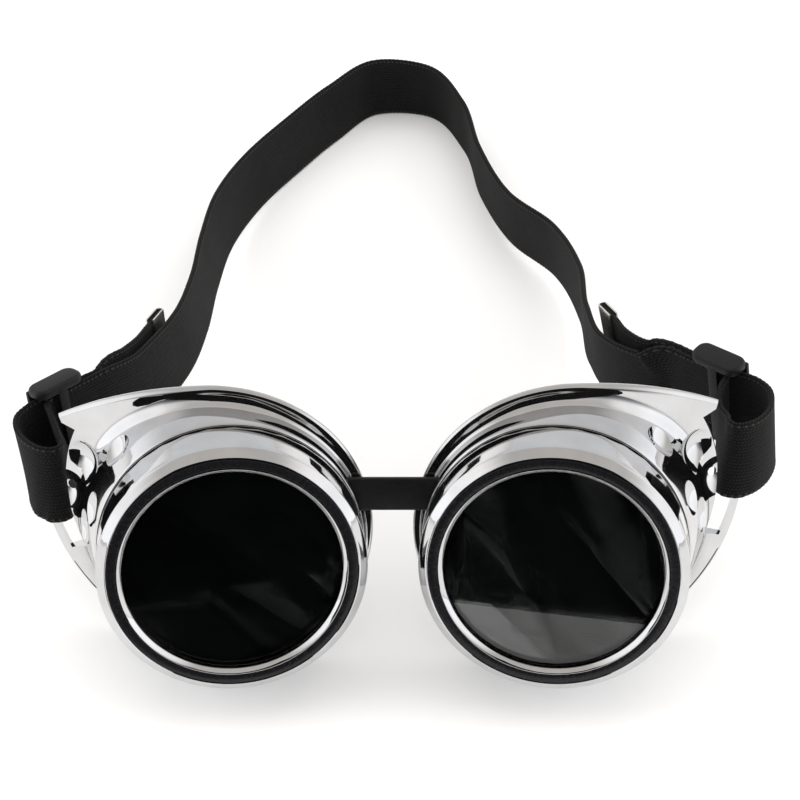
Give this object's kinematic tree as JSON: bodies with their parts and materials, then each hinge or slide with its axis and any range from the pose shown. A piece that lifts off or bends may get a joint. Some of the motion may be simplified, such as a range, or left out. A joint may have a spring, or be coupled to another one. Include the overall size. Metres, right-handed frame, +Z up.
{
  "type": "welding goggles",
  "caption": "Round two-lens welding goggles: flared eye cups with side vents, screw rings holding the lenses, a flat nose bridge and an adjustable elastic headband.",
  "frame": {"origin": "on the table, under the midpoint of the line joining the centres of the two lens faces", "axes": "+Z up; X across the goggles, towards the right of someone looking at the lenses; the lenses face -Y and the strap lies towards +Y"},
  "size_m": [0.1755, 0.2408, 0.0652],
  "materials": {
    "chromed_plastic": "bright chrome plating on moulded plastic",
    "inlay_black": "gloss",
    "clear_glass": "polished",
    "filter_glass": "polished, very dark green",
    "gasket_rubber": "matte",
    "bridge_rubber": "satin",
    "elastic": "knitted elastic",
    "slider_plastic": "satin",
    "tip_metal": "nickel plated, folded sheet"
  },
  "bodies": {
    "frame": {"nose_bridge": "bridge_rubber", "strap_back": "elastic"},
    "cup_left": {"eye_cup_left": "chromed_plastic", "strap_end_left": "elastic", "strap_tip_left": "tip_metal"},
    "lenses_left": {"cover_lens_left": "clear_glass", "filter_lens_left": "filter_glass", "lens_gasket_left": "gasket_rubber"},
    "ring_left": {"retaining_ring_left": "chromed_plastic", "bezel_inlay_left": "inlay_black"},
    "slider_left": {"strap_slider_left": "slider_plastic"},
    "cup_right": {"eye_cup_right": "chromed_plastic", "strap_end_right": "elastic", "strap_tip_right": "tip_metal"},
    "lenses_right": {"cover_lens_right": "clear_glass", "filter_lens_right": "filter_glass", "lens_gasket_right": "gasket_rubber"},
    "ring_right": {"retaining_ring_right": "chromed_plastic", "bezel_inlay_right": "inlay_black"},
    "slider_right": {"strap_slider_right": "slider_plastic"}
  },
  "joints": [
    {"name": "nose_flex_left", "type": "hinge", "parent": "frame", "child": "cup_left", "pos_m": [-0.00757, 0.02104, 0.04156], "axis": [0, 0, 1], "range_deg": [-12, 8], "stiffness_Nm_per_rad": 0.02, "deforming": ["strap_back", "nose_bridge"]},
    {"name": "lenses_out_left", "type": "slide", "parent": "cup_left", "child": "lenses_left", "axis": [0.1155, -0.9407, 0.319], "range_m": [0, 0.0061]},
    {"name": "ring_screw_left", "type": "hinge", "parent": "lenses_left", "child": "ring_left", "pos_m": [-0.0339, 0, 0.03827], "axis": [0.1155, -0.9407, 0.319], "range_deg": [0, 1080]},
    {"name": "strap_adjust_left", "type": "slide", "parent": "cup_left", "child": "slider_left", "axis": [0.6947, 0.7193, 0], "range_m": [0, 0.005]},
    {"name": "nose_flex_right", "type": "hinge", "parent": "frame", "child": "cup_right", "pos_m": [0.00757, 0.02104, 0.04156], "axis": [0, 0, 1], "range_deg": [-8, 12], "stiffness_Nm_per_rad": 0.02, "deforming": ["strap_back", "nose_bridge"]},
    {"name": "lenses_out_right", "type": "slide", "parent": "cup_right", "child": "lenses_right", "axis": [-0.1155, -0.9407, 0.319], "range_m": [0, 0.0061]},
    {"name": "ring_screw_right", "type": "hinge", "parent": "lenses_right", "child": "ring_right", "pos_m": [0.0339, 0, 0.03827], "axis": [-0.1155, -0.9407, 0.319], "range_deg": [0, 1080]},
    {"name": "strap_adjust_right", "type": "slide", "parent": "cup_right", "child": "slider_right", "axis": [-0.7314, 0.682, 0], "range_m": [0, 0.005]}
  ],
  "couplings": [
    {"joint": "lenses_out_left", "follows": "ring_screw_left", "m_per_rad": 0.00031831},
    {"joint": "lenses_out_right", "follows": "ring_screw_right", "m_per_rad": 0.00031831}
  ]
}
